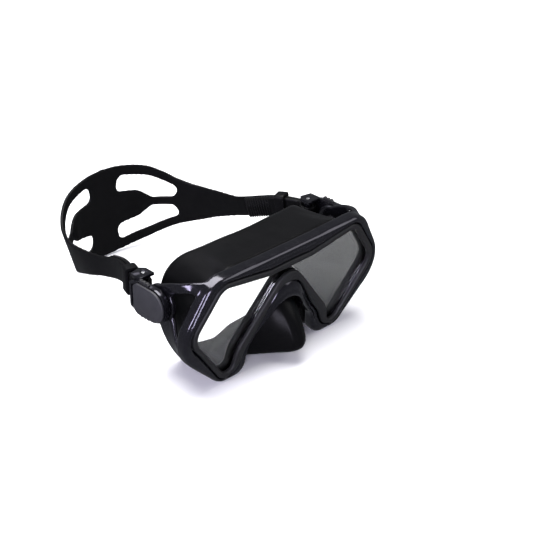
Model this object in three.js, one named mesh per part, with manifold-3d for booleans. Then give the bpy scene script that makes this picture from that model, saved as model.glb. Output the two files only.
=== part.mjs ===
// Single-lens snorkel mask: tempered lens, front bezel, glossy frame with open side arms, silicone
// skirt with a nose pocket, and a split-pad silicone strap held by two swivelling buckles.
// Millimetres, +X to the wearer's left, the lens looks along -Y, +Z up, z = 0 is the table.
import * as THREE from "three";
import { mergeVertices } from "three/addons/utils/BufferGeometryUtils.js";
import Module from "manifold-3d";

const wasm = await Module();
wasm.setup();

// ---------------------------------------------------------------- driving dimensions
const GAP = 0.3; // clearance between touching pieces
const LENS_TILT = THREE.MathUtils.degToRad(8); // top of the lens leans forward
const FLOOR_Z = -48.3; // height of the table below the lens centre
const ARC_STEPS = 4; // segments in each rounded corner of the outlines
const EDGE_STEPS = 2; // points between two rounded corners

// Outlines in the lens plane, right half, clockwise from the brow: [x, q, corner radius].
// The last corner is the notch over the nose, on the centre line.
const OPENING = [
  [20, 21.6, 60], [58.5, 28.2, 8], [79.5, -3, 12], [51.5, -41, 7], [44, -42.5, 4.5], [41, -28, 26],
  [0, 26, 14],
];
const FRAME_OUTER = [
  [22, 34.8, 90], [67.5, 36, 18], [93.5, -10, 28], [53.5, -49.6, 12], [32, -49.2, 8], [29, -31, 16],
  [0, 7.4, 15.5],
];
// Outline of the face seal, seen from behind: [x, z, corner radius].
const SEAL = [
  [20, 33, 90], [58.5, 29, 21], [70, -6, 34], [51, -47, 12], [33, -49.3, 9], [20, -44, 12],
  [0, -43.5, 10],
];
const SEAL_Y = 39; // depth of the seal at the centre line
const SEAL_SWEEP = 12; // how much further back the temples reach
const SEAL_HALF_WIDTH = 68;
const SEAL_LIP = 11; // width of the in-turned feather edge

const LENS_THICK = 3;
const LENS_BORDER = 3; // glass hidden under the bezel
const LENS_FRONT = -2.4; // front face of the glass, from the bezel's reference plane
const BEZEL_WIDTH = 5;
const BEZEL_NOSE_EXTRA = 2.4; // the bezel is wider along the nose notch
const FRAME_DEPTH = 9.2;
const FLANGE = 1.6; // rear flange that clamps the skirt's lip
const BRIDGE_LIFT = 3; // how far the nose bridge stands proud
const SKIRT_WALL = 2;
const LIMB_THICK = 4.2; // thickness of the side arms' limbs

const RIDGE_HALF = 5; // the nose pocket's flat ridge
const POCKET_TOP = { y: -17.5, z: -30, slope: 1.6 }; // foremost level of the pocket
const POCKET_BASE = { y: -13.5, z: -43, slope: 1.45 };

const PIVOT = { y: 33.5, z: 10.5 }; // swivel axis of the strap buckles, along X
const LUG = { x0: 74.5, x1: 78.5, radius: 12.6 };
const PIN_RADIUS = 3.2;
const BUCKLE = { x0: 79.8, x1: 83.6, radius: 11.8, rear: 56.5, plate: 1.5, wall: 1.8 };
const COVER = { x0: 83.9, x1: 85.6, radius: 11.1, rear: 51 };
const CHEEK = { x0: 69.4, y0: 48.6, y1: 60, thick: 2 };
const ROLLER = { x: 74, y: 54, radius: 2.8, bore: 1.6, length: 17 };
const STRAP_THICK = 2.4;
const BAND_HALF = 7.2; // half height of the strap's arms
const TAIL_GAP = 0.5; // between the arm and the tail folded back inside it
const KEEPER = { length: 7, wall: 1.8, clearance: 0.5, leftDepth: 75.5, rightDepth: 68.5 };

// ---------------------------------------------------------------- colours
const material = (color, roughness, metalness = 0, extra = {}) =>
  new THREE.MeshStandardMaterial({ color, roughness, metalness, ...extra });
const GLASS = material(0xe8eef0, 0.04, 0, { transparent: true, opacity: 0.25 });
const GLOSS_BLACK = material(0x0d0d10, 0.16);
const SATIN_BLACK = material(0x232325, 0.45);
const COVER_GREY = material(0x39393c, 0.5);
const SILICONE = material(0x161617, 0.38);
const STEEL = material(0xb9bcc0, 0.3, 1);

// ---------------------------------------------------------------- geometry helpers
const v3 = (x, y, z) => new THREE.Vector3(x, y, z);
const { smoothstep, lerp } = THREE.MathUtils;

// A point of the lens plane: q runs up the lens and n forward of it.
const lensPoint = (x, q, n) =>
  v3(
    x,
    -q * Math.sin(LENS_TILT) - n * Math.cos(LENS_TILT),
    q * Math.cos(LENS_TILT) - n * Math.sin(LENS_TILT),
  );

// Rounds each corner [x, y, r] of a closed polygon into ARC_STEPS segments, with EDGE_STEPS points
// on each straight, so two outlines with as many corners match point by point.
function roundedOutline(corners, arcSteps = ARC_STEPS, edgeSteps = EDGE_STEPS) {
  const n = corners.length;
  const arcs = corners.map(([x, y, r], i) => {
    const here = new THREE.Vector2(x, y);
    const back = new THREE.Vector2(...corners[(i + n - 1) % n]).sub(here).normalize();
    const on = new THREE.Vector2(...corners[(i + 1) % n]).sub(here).normalize();
    const half = Math.acos(THREE.MathUtils.clamp(back.dot(on), -1, 1)) / 2;
    const reach = r / Math.tan(half);
    const centre = here.clone().addScaledVector(back.clone().add(on).normalize(), r / Math.sin(half));
    const from = here.clone().addScaledVector(back, reach).sub(centre);
    const to = here.clone().addScaledVector(on, reach).sub(centre);
    const turn = Math.atan2(from.x * to.y - from.y * to.x, from.dot(to));
    return Array.from({ length: arcSteps + 1 }, (_, k) =>
      from.clone().rotateAround(new THREE.Vector2(), (turn * k) / arcSteps).add(centre),
    );
  });
  return arcs.flatMap((arc, i) => {
    const end = arc[arcSteps];
    const next = arcs[(i + 1) % n][0];
    const straight = Array.from({ length: edgeSteps }, (_, k) =>
      end.clone().lerp(next, (k + 1) / (edgeSteps + 1)),
    );
    return [...arc, ...straight];
  });
}

// Right half plus its mirror image, as one closed outline.
const mirrored = (half) =>
  roundedOutline([...half, ...half.slice(0, -1).reverse().map(([x, y, r]) => [-x, y, r])]);

// Joins rings of points into one closed solid. closed joins the last ring to the first, otherwise
// both ends are capped from their centres.
function loft(rings, closed) {
  const size = rings[0].length;
  const points = rings.flat();
  const index = [];
  const spans = closed ? rings.length : rings.length - 1;
  for (let i = 0; i < spans; i++) {
    const a = i * size;
    const b = ((i + 1) % rings.length) * size;
    for (let j = 0; j < size; j++) {
      const k = (j + 1) % size;
      index.push(a + j, b + j, b + k, a + j, b + k, a + k);
    }
  }
  if (!closed) {
    [[rings[0], 0, 1], [rings.at(-1), (rings.length - 1) * size, -1]].forEach(([ring, start, sign]) => {
      const hub = points.length;
      points.push(ring.reduce((sum, p) => sum.add(p), v3(0, 0, 0)).divideScalar(size));
      for (let j = 0; j < size; j++) {
        const k = (j + 1) % size;
        index.push(hub, start + (sign > 0 ? j : k), start + (sign > 0 ? k : j));
      }
    });
  }
  const geometry = new THREE.BufferGeometry().setFromPoints(points);
  geometry.setIndex(index);
  return geometry;
}

// three.js geometry to a manifold solid and back.
function solid(geometry) {
  const bare = geometry.clone();
  bare.deleteAttribute("normal");
  bare.deleteAttribute("uv");
  const merged = mergeVertices(bare, 1e-4);
  const made = new wasm.Manifold(
    new wasm.Mesh({
      numProp: 3,
      vertProperties: new Float32Array(merged.attributes.position.array),
      triVerts: new Uint32Array(merged.index.array),
    }),
  );
  if (made.volume() >= 0) return made;
  for (let i = 0; i < merged.index.array.length; i += 3) {
    const second = merged.index.array[i + 1];
    merged.index.array[i + 1] = merged.index.array[i + 2];
    merged.index.array[i + 2] = second;
  }
  return solid(merged);
}

function geometryOf(made) {
  const { vertProperties, triVerts } = made.getMesh();
  const geometry = new THREE.BufferGeometry();
  geometry.setAttribute("position", new THREE.BufferAttribute(vertProperties, 3));
  geometry.setIndex(new THREE.BufferAttribute(triVerts, 1));
  return geometry;
}

const named = (name, geometry, look) => {
  const mesh = new THREE.Mesh(geometry, look);
  mesh.name = name;
  return mesh;
};

// A cylinder along X or Z between two levels.
function rod(axis, radius, from, to, at, sides = 28) {
  const geometry = new THREE.CylinderGeometry(radius, radius, to - from, sides);
  if (axis === "x") return geometry.rotateZ(-Math.PI / 2).translate((from + to) / 2, at.y, at.z);
  return geometry.rotateX(Math.PI / 2).translate(at.x, at.y, (from + to) / 2);
}

function block(x0, x1, y0, y1, z0, z1) {
  const geometry = new THREE.BoxGeometry(x1 - x0, y1 - y0, z1 - z0);
  return geometry.translate((x0 + x1) / 2, (y0 + y1) / 2, (z0 + z1) / 2);
}

// A side-view outline, [y, z, corner radius], extruded outwards along X.
function sidePlate(corners, x0, x1, bevel = 0) {
  const shape = new THREE.Shape(roundedOutline(corners, 6, 0));
  const geometry = new THREE.ExtrudeGeometry(shape, {
    depth: x1 - x0 - 2 * bevel,
    bevelEnabled: bevel > 0,
    bevelThickness: bevel,
    bevelSize: bevel,
    bevelOffset: -bevel,
    bevelSegments: 2,
  });
  const toSide = new THREE.Matrix4().makeBasis(v3(0, 1, 0), v3(0, 0, 1), v3(1, 0, 0));
  return geometry.translate(0, 0, bevel).applyMatrix4(toSide).translate(x0, 0, 0);
}

// ---------------------------------------------------------------- stations around the lens
const opening = mirrored(OPENING);
const outer = mirrored(FRAME_OUTER);
const seal = mirrored(SEAL);
const stationsPerCorner = ARC_STEPS + 1 + EDGE_STEPS;
const notchStart = (OPENING.length - 2) * stationsPerCorner;
const notchEnd = (OPENING.length + 1) * stationsPerCorner - EDGE_STEPS;
const noseTop = (OPENING.length - 1) * stationsPerCorner + ARC_STEPS / 2;

const stations = opening.map((inner, i) => {
  const across = outer[i].clone().sub(inner);
  const width = across.length();
  const inNotch = i >= notchStart && i < notchEnd;
  const nearness = inNotch ? 1 - smoothstep(Math.abs(outer[i].x), 8, 26) : 0;
  const noseward = inNotch ? 1 - smoothstep(Math.abs(outer[i].x), 24, 29) : 0;
  const barward = 1 - smoothstep(Math.abs(i - noseTop) / stationsPerCorner, 1.05, 2.05);
  return { inner, across: across.normalize(), width, seal: seal[i], nearness, noseward, barward };
});

// A point w millimetres out from the opening's edge, n forward of the lens plane.
const at = (s, w, n) => lensPoint(s.inner.x + s.across.x * w, s.inner.y + s.across.y * w, n);
const bezelWidth = (s) => BEZEL_WIDTH + BEZEL_NOSE_EXTRA * s.barward;

// ---------------------------------------------------------------- lens and bezel
function lens() {
  const edge = stations.map((s) => s.inner.clone().addScaledVector(s.across, LENS_BORDER));
  const geometry = new THREE.ExtrudeGeometry(new THREE.Shape(edge), {
    depth: LENS_THICK,
    bevelEnabled: false,
  });
  return geometry.translate(0, 0, LENS_FRONT - LENS_THICK).rotateX(Math.PI / 2 + LENS_TILT);
}

function lensBezel() {
  const back = LENS_FRONT + GAP;
  return loft(
    stations.map((s) => {
      const w = bezelWidth(s) - 1.7 * GAP;
      const front = 0.5 * s.nearness;
      return [
        at(s, 0, back), at(s, 0, 0.4), at(s, 0.8, 1.2), at(s, w - 1, 1.5 + front), at(s, w, 0.8 + front),
        at(s, w, back),
      ];
    }),
    true,
  );
}

// ---------------------------------------------------------------- frame
// The ring holds the bezel, lens and skirt lip in a stepped seat. Its front has two lengthwise
// ridges, is hollowed beside the nose bar, and rises over the nose to make the bridge.
function frameRing() {
  const seat = LENS_BORDER + 0.9;
  const flange = FRAME_DEPTH - FLANGE;
  return loft(
    stations.map((s) => {
      const w0 = bezelWidth(s);
      const w1 = s.width;
      const lift = BRIDGE_LIFT * s.nearness;
      const dip = s.barward * (1 - s.nearness);
      const across = (share) => w0 + (w1 - w0) * share;
      return [
        at(s, w0, LENS_FRONT - 0.1),
        at(s, w0, -0.4 + 0.5 * s.nearness - 0.6 * dip),
        at(s, across(0.18), 1 - 2.2 * dip + lift * 0.4),
        at(s, across(0.4), 0.9 - 2.6 * dip + lift * 0.6),
        at(s, across(0.52), 0.2 - 1.8 * dip + lift * 0.7),
        at(s, across(0.66), 0.8 - 1.6 * dip + lift * 0.85),
        at(s, w1 - 1.1, lift),
        at(s, w1, -1.6 + lift),
        at(s, w1, -FRAME_DEPTH + 1.6),
        at(s, w1 - 1.5, -FRAME_DEPTH),
        at(s, 0.9, -FRAME_DEPTH),
        at(s, 0.9, -flange),
        at(s, seat, -flange),
        at(s, seat, LENS_FRONT - 0.1),
      ];
    }),
    true,
  );
}

// A strip of constant thickness between two edges.
function strip(edgeA, edgeB, thick) {
  const rings = edgeA.map((a, i) => {
    const b = edgeB[i];
    const after = Math.min(i + 1, edgeA.length - 1);
    const before = Math.max(i - 1, 0);
    const ahead = edgeA[after].clone().add(edgeB[after]);
    const behind = edgeA[before].clone().add(edgeB[before]);
    const normal = ahead.sub(behind).cross(b.clone().sub(a)).normalize();
    const side = b.clone().sub(a).normalize();
    const out = normal.clone().multiplyScalar(thick / 2);
    const rim = side.clone().multiplyScalar(0.9);
    return [
      a.clone().add(rim).add(out),
      b.clone().sub(rim).add(out),
      b.clone().addScaledVector(normal, thick * 0.2),
      b.clone().addScaledVector(normal, -thick * 0.2),
      b.clone().sub(rim).sub(out),
      a.clone().add(rim).sub(out),
      a.clone().addScaledVector(normal, -thick * 0.2),
      a.clone().addScaledVector(normal, thick * 0.2),
    ];
  });
  return loft(rings, false);
}

const curved = (points, count) =>
  new THREE.CatmullRomCurve3(points.map((p) => v3(...p)), false, "centripetal").getPoints(count);

// The side arm: an upper and a lower limb that leave the frame's corners and meet at the pivot lug,
// with an open window between them.
function sideArm() {
  const upper = strip(
    curved([[66, 3, 33.4], [71, 9, 32.4], [75, 17, 30.2], [76.4, 25, 27.6], [76.6, 33, 24]], 8),
    curved([[72, 3, 25.5], [74.5, 9, 25.8], [76, 16, 23.6], [76.4, 23, 19.5], [76.6, 31, 15]], 8),
    LIMB_THICK,
  );
  const lower = strip(
    curved([[76.5, 27, 8], [77, 21, 3], [80.4, 16, -3.5], [83.4, 10, -9.5], [84, 6.5, -14], [82, 6, -18]], 10),
    curved(
      [[76.5, 41, 5], [76.5, 35.5, -6], [77, 29, -14], [76.6, 21, -20.5], [73.5, 12.5, -26.5], [66, 8.5, -33]],
      10,
    ),
    LIMB_THICK,
  );
  const lug = rod("x", LUG.radius, LUG.x0, LUG.x1, PIVOT, 40);
  return [upper, lower, lug];
}

function frame() {
  let body = solid(frameRing());
  sideArm().forEach((piece) => {
    body = body.add(solid(piece)).add(solid(piece.clone().scale(-1, 1, 1)));
  });
  const bore = rod("x", PIN_RADIUS + GAP, -100, 100, PIVOT, 32);
  const table = block(-100, 100, -40, 60, FLOOR_Z - 20, FLOOR_Z);
  return geometryOf(body.subtract(solid(bore)).subtract(solid(table)));
}

// ---------------------------------------------------------------- skirt
const sealPoint = (p, inset) => {
  const toCentre = new THREE.Vector2(0, -6).sub(p);
  const q = p.clone().addScaledVector(toCentre.normalize(), inset);
  return v3(q.x, SEAL_Y + SEAL_SWEEP * (p.x / SEAL_HALF_WIDTH) ** 2, q.y);
};

// A point of the nose pocket's wedge at one level, x to the side of the ridge.
function pocketPoint(level, x) {
  const beside = Math.max(Math.abs(x) - RIDGE_HALF, 0);
  const drop = level === POCKET_TOP ? 0.55 * beside : 0.25 * beside;
  return v3(x, level.y + level.slope * beside + 0.35 * Math.min(Math.abs(x), RIDGE_HALF), level.z - drop);
}

// 1 beside the eyes, where the skirt stays inside the side arms, and 0 at the brow and nose.
const sideness = (s) => smoothstep(Math.abs(s.inner.x + s.across.x * s.width), 46, 62);
const skirtReach = (s) => lerp(s.width - lerp(1.5, 8, sideness(s)), s.width + 0.7, s.noseward);

// Outside of the skirt at one station, from the lip behind the glass to the feather edge.
function skirtOutside(s) {
  const rim = sealPoint(s.seal, 0);
  const edge = sealPoint(s.seal, SEAL_LIP);
  edge.y += 1.5;
  const beside = sideness(s);
  const behind = at(s, skirtReach(s), -FRAME_DEPTH - GAP);
  const underRim = at(s, s.width + 0.7, lerp(-FRAME_DEPTH + 1, 0.6, s.nearness));
  const turn = behind.clone().lerp(underRim, s.noseward);
  const wall = behind.clone().lerp(rim, 0.36);
  const rear = behind.clone().lerp(rim, 0.76);
  [[wall, 0.62], [rear, 0.93]].forEach(([p, share]) => {
    p.x = lerp(behind.x, rim.x, share);
    p.z = lerp(behind.z, rim.z, share);
  });
  const x = s.inner.x + s.across.x * s.width;
  wall.lerp(pocketPoint(POCKET_TOP, x), s.noseward);
  rear.lerp(pocketPoint(POCKET_BASE, x), s.noseward);
  const shoulder = turn.clone().lerp(wall, lerp(0.16, 0.35, beside));
  shoulder.x = lerp(turn.x, wall.x, lerp(0.16, 0.55, beside));
  return [
    at(s, LENS_BORDER + 0.6, -FRAME_DEPTH + FLANGE + GAP), at(s, 0.2, -FRAME_DEPTH + FLANGE + GAP),
    at(s, 0.2, -FRAME_DEPTH - GAP), behind, shoulder, wall, rear, rim, edge,
  ];
}

function skirt() {
  const grid = stations.map(skirtOutside);
  const count = grid.length;
  const firstWall = 3;
  const rings = grid.map((row, i) => {
    const before = grid[(i + count - 1) % count];
    const after = grid[(i + 1) % count];
    const inside = [];
    for (let k = row.length - 1; k > firstWall; k--) {
      const along = after[k].clone().sub(before[k]);
      const outward = row[Math.min(k + 1, row.length - 1)].clone().sub(row[k - 1]);
      const normal = outward.cross(along).normalize();
      inside.push(row[k].clone().addScaledVector(normal, k === row.length - 1 ? 0.9 : SKIRT_WALL));
    }
    const s = stations[i];
    const bend = skirtReach(s) + lerp(-SKIRT_WALL, SKIRT_WALL, s.noseward);
    return [
      ...row,
      ...inside,
      at(s, bend, -FRAME_DEPTH - GAP - SKIRT_WALL),
      at(s, -1.5, -FRAME_DEPTH - GAP - SKIRT_WALL),
      at(s, -1.5, LENS_FRONT - LENS_THICK - GAP),
      at(s, LENS_BORDER + 0.6, LENS_FRONT - LENS_THICK - GAP),
    ];
  });
  const table = block(-100, 100, -60, 80, FLOOR_Z - 20, FLOOR_Z + 0.05);
  return geometryOf(solid(loft(rings, true)).subtract(solid(table)));
}

// ---------------------------------------------------------------- strap
// Right half of the strap's centre line, from the pad's middle to the buckle roller.
const ROUTE = [
  [0, 189.6, -12.8], [16, 188.6, -12.9], [32, 184.8, -13.2], [45, 177.5, -13.6], [53.5, 167.5, -13.4],
  [58.6, 156, -12], [61.2, 146, -9.8], [62.4, 136, -7.2], [62.8, 124, -4], [63, 112, -0.6],
  [64.2, 101, 3.2], [66.3, 91, 6.8], [69.2, 81.5, 9.6], [72.2, 73.5, 10.8], [75, 66, 11.2],
  [77.4, 60, 10.9], [78.3, 54, 10.5],
];
// Half height of the strap against the distance from the pad's middle.
const PAD = [
  [0, 34.8], [14, 33.8], [27, 31.6], [38, 28.8], [50, 23.4], [60, 18.6], [72, 15], [90, 11], [108, 8.4],
];
// One opening of the split pad, [distance from the middle, height, corner radius].
const OPENING_CORNERS = [
  [11.5, 13.4, 4.5], [12.5, 26.6, 5], [38, 21.4, 50], [61.5, 11, 4], [57, 3.4, 3.6], [40.5, 3, 6],
  [30, 10.5, 16],
];
const TAIL_LENGTH = 52;
const TAIL_CLOSING = [3.8, 11]; // stretch of the tail over which it closes up against the arm
const TURN_STEPS = 8; // sections round the roller
const STRAP_STEP = 5.5;
const LEAN = THREE.MathUtils.degToRad(14);

const half = new THREE.CatmullRomCurve3(ROUTE.map((p) => v3(...p)), false, "centripetal");
const armLength = half.getLength();
const turnRadius = ROLLER.radius + GAP + STRAP_THICK / 2;
const turnLength = Math.PI * turnRadius;

// Centre line point and outward normal at distance s from the pad's middle, on the right side.
function armPoint(s) {
  const u = THREE.MathUtils.clamp(s / armLength, 0, 1);
  const tangent = half.getTangentAt(u);
  const out = tangent.clone().cross(v3(0, 0, 1)).normalize();
  const up = out.clone().cross(tangent).normalize();
  if (up.z < 0) up.negate();
  if (u === 0) {
    out.set(0, 1, 0);
    up.set(0, 0, 1);
  }
  return { point: half.getPointAt(u), out: out.dot(v3(1, 1, 0)) < 0 ? out.negate() : out, up };
}

function strapPoint(s) {
  if (s <= armLength) return armPoint(s);
  const past = s - armLength;
  if (past < turnLength) {
    const angle = past / turnRadius;
    const out = v3(Math.cos(angle), -Math.sin(angle), 0);
    const centre = v3(ROLLER.x, ROLLER.y, PIVOT.z);
    return { point: centre.addScaledVector(out, turnRadius), out, up: v3(0, 0, 1) };
  }
  const back = armPoint(armLength - (past - turnLength));
  const near = 2 * turnRadius;
  const far = STRAP_THICK + TAIL_GAP;
  const offset = lerp(near, far, smoothstep(past - turnLength, ...TAIL_CLOSING));
  const point = back.point.addScaledVector(back.out, -offset);
  return { point, out: back.out.clone().negate(), up: back.up };
}

function halfHeight(s) {
  const i = PAD.findIndex(([d]) => d > s);
  if (i < 0) return BAND_HALF;
  const before = PAD[Math.max(i - 2, 0)];
  const [a, b] = [PAD[i - 1], PAD[i]];
  const ends = [before[1], a[1], b[1], PAD[i + 1]?.[1] ?? BAND_HALF];
  const t = (s - a[0]) / (b[0] - a[0]);
  const curve = new THREE.SplineCurve(ends.map((h, k) => new THREE.Vector2(k, h)));
  return curve.getPoint((1 + t) / 3).y;
}

// The right-hand bend of the pad leans in at its lower edge, as soft silicone does when it lies free.
const leanAt = (s) => LEAN * smoothstep(s, 22, 60) * (1 - smoothstep(s, 78, 118));

// The strap's flat pattern bent to its route: along from the middle (negative on the left), across
// up the band, off outwards from its centre line.
function bend(along, across, off) {
  const { point, out, up } = strapPoint(Math.abs(along));
  const lean = along < 0 ? leanAt(-along) : 0;
  if (lean > 0) {
    const tangent = up.clone().cross(out);
    point.addScaledVector(out, -Math.sin(lean) * halfHeight(-along));
    [up, out].forEach((axis) => axis.applyAxisAngle(tangent, lean));
  }
  const placed = point.clone().addScaledVector(up, across).addScaledVector(out, off);
  return along < 0 ? v3(-placed.x, placed.y, placed.z) : placed;
}

function strap() {
  const end = armLength + turnLength + TAIL_LENGTH;
  const turnStart = armLength;
  const turnEnd = armLength + turnLength;
  const distances = [];
  for (let s = 0; s < turnStart - 1; s += STRAP_STEP) distances.push(s);
  for (let k = 0; k <= TURN_STEPS; k++) distances.push(lerp(turnStart, turnEnd, k / TURN_STEPS));
  for (let s = turnEnd + STRAP_STEP; s <= end; s += STRAP_STEP) distances.push(s);
  const t = STRAP_THICK / 2;
  const soft = 0.7;
  const ring = (s) => {
    const h = halfHeight(Math.abs(s));
    const section = [
      [h - soft, t], [h, t - soft], [h, soft - t], [h - soft, -t],
      [soft - h, -t], [-h, soft - t], [-h, t - soft], [soft - h, t],
    ];
    return section.map(([across, off]) => bend(s, across, off));
  };
  const all = [...distances.slice(1).reverse().map((s) => -s), ...distances];
  let body = solid(loft(all.map(ring), false));
  const hole = roundedOutline(OPENING_CORNERS, 4, 2);
  [[1, 1], [1, -1], [-1, 1], [-1, -1]].forEach(([side, level]) => {
    const cut = new THREE.ExtrudeGeometry(new THREE.Shape(hole), { depth: 1, bevelEnabled: false });
    const position = cut.attributes.position;
    for (let i = 0; i < position.count; i++) {
      const off = position.getZ(i) < 0.5 ? -7 : 7;
      const p = bend(side * position.getX(i), level * position.getY(i), off);
      position.setXYZ(i, p.x, p.y, p.z);
    }
    body = body.subtract(solid(cut));
  });
  return geometryOf(body);
}

// ---------------------------------------------------------------- buckle and its pieces, right side
const buckleTop = PIVOT.z + BUCKLE.radius;
const buckleBottom = PIVOT.z - BUCKLE.radius;

// Round at the front, straight at the rear, as seen from the side.
const buckleOutline = (radius, rear, rearHalf) => [
  [PIVOT.y - radius, PIVOT.z - radius, radius - 0.2], [PIVOT.y + 14, PIVOT.z - radius, 3],
  [rear, PIVOT.z - rearHalf, 2], [rear, PIVOT.z + rearHalf, 2], [PIVOT.y + 14, PIVOT.z + radius, 3],
  [PIVOT.y - radius, PIVOT.z + radius, radius - 0.2],
];

const BUTTON = { y0: 38, y1: 47, inner: 3.2, proud: 1.7, x0: 0, x1: 0 };
BUTTON.x0 = BUCKLE.x0 + BUCKLE.plate + GAP;
BUTTON.x1 = BUCKLE.x1 - 0.1;

function buckleBase() {
  const tray = solid(sidePlate(buckleOutline(BUCKLE.radius, BUCKLE.rear, 9), BUCKLE.x0, BUCKLE.x1));
  const hollow = solid(
    sidePlate(
      buckleOutline(BUCKLE.radius - BUCKLE.wall, BUCKLE.rear - BUCKLE.wall, 7.4),
      BUCKLE.x0 + BUCKLE.plate, BUCKLE.x1 + 1,
    ),
  );
  const slot = solid(
    block(BUTTON.x0 - GAP, BUCKLE.x1 + 1, BUTTON.y0 - GAP, BUTTON.y1 + GAP, buckleBottom - 2, buckleTop + 2),
  );
  const bore = solid(rod("x", PIN_RADIUS + GAP, 60, 100, PIVOT, 32));
  let base = tray.subtract(hollow).subtract(slot).subtract(bore);
  [[buckleTop - 1.4, buckleTop - 1.4 + CHEEK.thick], [buckleBottom + 1.4 - CHEEK.thick, buckleBottom + 1.4]]
    .forEach(([z0, z1]) => {
      const corners = [
        [CHEEK.x0, CHEEK.y0],
        [BUCKLE.x0 + 1, CHEEK.y0],
        [BUCKLE.x0 + 1, CHEEK.y1 - 2],
        [CHEEK.x0 + 3, CHEEK.y1],
        [CHEEK.x0, CHEEK.y1 - 3],
      ];
      const cheek = new THREE.ExtrudeGeometry(
        new THREE.Shape(corners.map((c) => new THREE.Vector2(...c))),
        { depth: z1 - z0, bevelEnabled: false },
      );
      base = base.add(solid(cheek.translate(0, 0, z0)));
    });
  const axleHole = rod("z", 1.25 + GAP, buckleBottom - 5, buckleTop + 5, ROLLER, 20);
  return geometryOf(base.subtract(solid(axleHole)));
}

function buckleCover() {
  const plate = sidePlate(buckleOutline(COVER.radius, COVER.rear, 8.4), COVER.x0, COVER.x1, 0.5);
  return plate;
}

function pivotPin() {
  const head = { x0: LUG.x0 - GAP - 1.6, x1: LUG.x0 - GAP, radius: 5.6 };
  const tip = BUCKLE.x0 + BUCKLE.plate + 0.8;
  const profile = [
    [0, head.x0], [head.radius - 0.6, head.x0], [head.radius, head.x0 + 0.6], [head.radius, head.x1],
    [PIN_RADIUS, head.x1], [PIN_RADIUS, tip - 0.5], [PIN_RADIUS - 0.5, tip], [0, tip],
  ].map(([r, x]) => new THREE.Vector2(r, x));
  return new THREE.LatheGeometry(profile, 28).rotateZ(-Math.PI / 2).translate(0, PIVOT.y, PIVOT.z);
}

function pivotWasher() {
  const [x0, x1] = [LUG.x1 + GAP, BUCKLE.x0 - GAP];
  const profile = [[PIN_RADIUS + GAP, x0], [7, x0], [7, x1], [PIN_RADIUS + GAP, x1], [PIN_RADIUS + GAP, x0]]
    .map(([r, x]) => new THREE.Vector2(r, x));
  return new THREE.LatheGeometry(profile, 28).rotateZ(-Math.PI / 2).translate(0, PIVOT.y, PIVOT.z);
}

function roller() {
  const h = ROLLER.length / 2;
  const profile = [
    [ROLLER.bore, -h], [ROLLER.radius - 0.4, -h], [ROLLER.radius, 0.4 - h], [ROLLER.radius, h - 0.4],
    [ROLLER.radius - 0.4, h], [ROLLER.bore, h], [ROLLER.bore, -h],
  ].map(([r, z]) => new THREE.Vector2(r, z));
  return new THREE.LatheGeometry(profile, 20).rotateX(Math.PI / 2).translate(ROLLER.x, ROLLER.y, PIVOT.z);
}

const rollerAxle = () => rod("z", 1.25, buckleBottom - 0.4, buckleTop + 0.4, ROLLER, 16);

// Push button of the strap release, upper (level 1) or lower (level -1), with three grip ribs.
function releaseButton(level) {
  const { y0, y1, inner, proud, x0, x1 } = BUTTON;
  const top = BUCKLE.radius + proud;
  const outline = [[y0, inner + 3], [y1, inner + 3], [y1, top - 1]];
  const ribs = 3;
  const pitch = (y1 - y0) / ribs;
  for (let k = 0; k < ribs; k++) {
    const crest = y1 - pitch * k;
    const foot = crest - pitch;
    outline.push([crest - 0.5, top], [foot + 0.9, top], [foot + 0.4, top - 0.8]);
  }
  outline.push([y0, top - 1]);
  const shape = new THREE.Shape(outline.map(([y, z]) => new THREE.Vector2(y, PIVOT.z + level * z)));
  const toSide = new THREE.Matrix4().makeBasis(v3(0, 1, 0), v3(0, 0, 1), v3(1, 0, 0));
  const geometry = new THREE.ExtrudeGeometry(shape, { depth: x1 - x0, bevelEnabled: false });
  return geometry.applyMatrix4(toSide).translate(x0, 0, 0);
}

// Coil spring between the two buttons.
function buttonSpring() {
  const reach = BUTTON.inner + 3 - GAP;
  const coil = 0.72;
  const turns = 6;
  const x = (BUTTON.x0 + BUTTON.x1) / 2;
  const y = (BUTTON.y0 + BUTTON.y1) / 2;
  class Helix extends THREE.Curve {
    getPoint(t, target = v3(0, 0, 0)) {
      const a = t * turns * 2 * Math.PI;
      const z = PIVOT.z + lerp(0.25 - reach, reach - 0.25, t);
      return target.set(x + coil * Math.cos(a), y + coil * Math.sin(a), z);
    }
  }
  const square = [[-0.2, -0.2, 0.1], [0.2, -0.2, 0.1], [0.2, 0.2, 0.1], [-0.2, 0.2, 0.1]];
  const wire = new THREE.Shape(roundedOutline(square, 1, 0));
  return new THREE.ExtrudeGeometry(wire, { steps: turns * 7, extrudePath: new Helix() });
}

// Keeper loop round the arm and its tail, at distance y along the mask.
function keeper(depth) {
  let s = armLength;
  while (half.getPointAt(s / armLength).y < depth) s -= 0.5;
  const { point, out, up } = armPoint(s);
  const { length, wall, clearance } = KEEPER;
  const across = STRAP_THICK * 2 + TAIL_GAP + 2 * clearance;
  const high = 2 * (BAND_HALF + clearance);
  const rim = (w, h, r) => roundedOutline([[-w, -h, r], [w, -h, r], [w, h, r], [-w, h, r]], 3, 0);
  const shape = new THREE.Shape(rim(across / 2 + wall, high / 2 + wall, 2.2));
  shape.holes.push(new THREE.Path(rim(across / 2, high / 2, 0.8)));
  const geometry = new THREE.ExtrudeGeometry(shape, { depth: length, bevelEnabled: false });
  const along = out.clone().cross(up).normalize();
  const centre = point.clone().addScaledVector(out, -(STRAP_THICK + TAIL_GAP) / 2);
  const place = new THREE.Matrix4().makeBasis(out, up, along).setPosition(centre);
  return geometry.translate(0, 0, -length / 2).applyMatrix4(place);
}

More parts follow.
